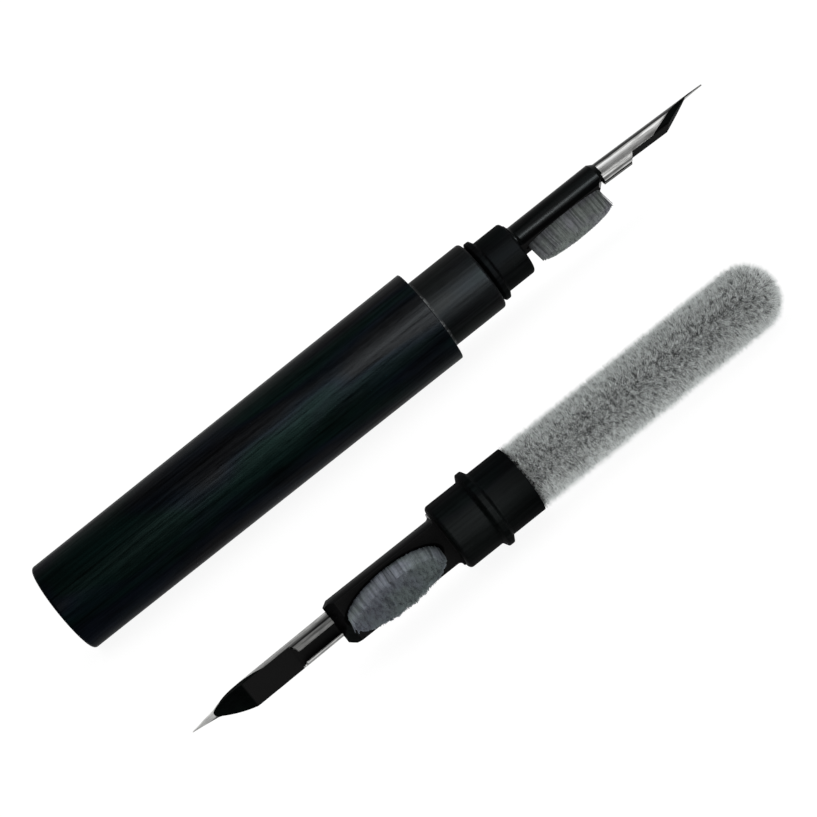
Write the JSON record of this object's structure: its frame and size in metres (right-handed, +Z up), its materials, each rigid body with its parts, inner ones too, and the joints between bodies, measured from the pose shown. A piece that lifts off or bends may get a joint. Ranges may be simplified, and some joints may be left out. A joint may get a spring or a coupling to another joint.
{
  "type": "cleaning pen",
  "caption": "Pocket cleaning pen: black barrel with a pull-out double-ended core, brush and steel nib at one end and flocked foam wand at the other, plus a spare core.",
  "frame": {"origin": "on the table, under the middle of the box round the pen and the spare core", "axes": "+X along the pen from its closed end to its nib, +Z up"},
  "size_m": [0.11, 0.0726, 0.014],
  "materials": {
    "barrel_black": "satin black with faint lengthwise drawing lines",
    "neck_black": "smooth moulded black",
    "core_black": "moulded black, slightly matt",
    "feed_black": "moulded black, matt",
    "stem_black": "moulded black",
    "pad_black": "dark bonded fibre roots",
    "bristle_grey": "fine straight nylon filaments",
    "nib_steel": "polished rolled sheet with lengthwise lines",
    "foam_grey": "fine open foam",
    "flock_grey": "salt and pepper flock"
  },
  "bodies": {
    "barrel": {"barrel_shell": "barrel_black", "neck_sleeve": "neck_black"},
    "fitted_core": {"fitted_collar": "core_black", "fitted_brush_holder": "core_black", "fitted_bristle_pad": "pad_black", "fitted_bristles": "bristle_grey", "fitted_nib": "nib_steel", "fitted_nib_feed": "feed_black", "fitted_wand_stem": "stem_black", "fitted_wand_foam": "foam_grey", "fitted_wand_flock": "flock_grey"},
    "spare_core": {"spare_collar": "core_black", "spare_brush_holder": "core_black", "spare_bristle_pad": "pad_black", "spare_bristles": "bristle_grey", "spare_nib": "nib_steel", "spare_nib_feed": "feed_black", "spare_wand_stem": "stem_black", "spare_wand_foam": "foam_grey", "spare_wand_flock": "flock_grey"}
  },
  "joints": [
    {"name": "core_pull", "type": "slide", "parent": "barrel", "child": "fitted_core", "axis": [1, 0, 0], "range_m": [0, 0.042]},
    {"name": "spare_lift", "type": "slide", "parent": "barrel", "child": "spare_core", "axis": [0, 0, 1], "range_m": [0, 0.03]}
  ]
}
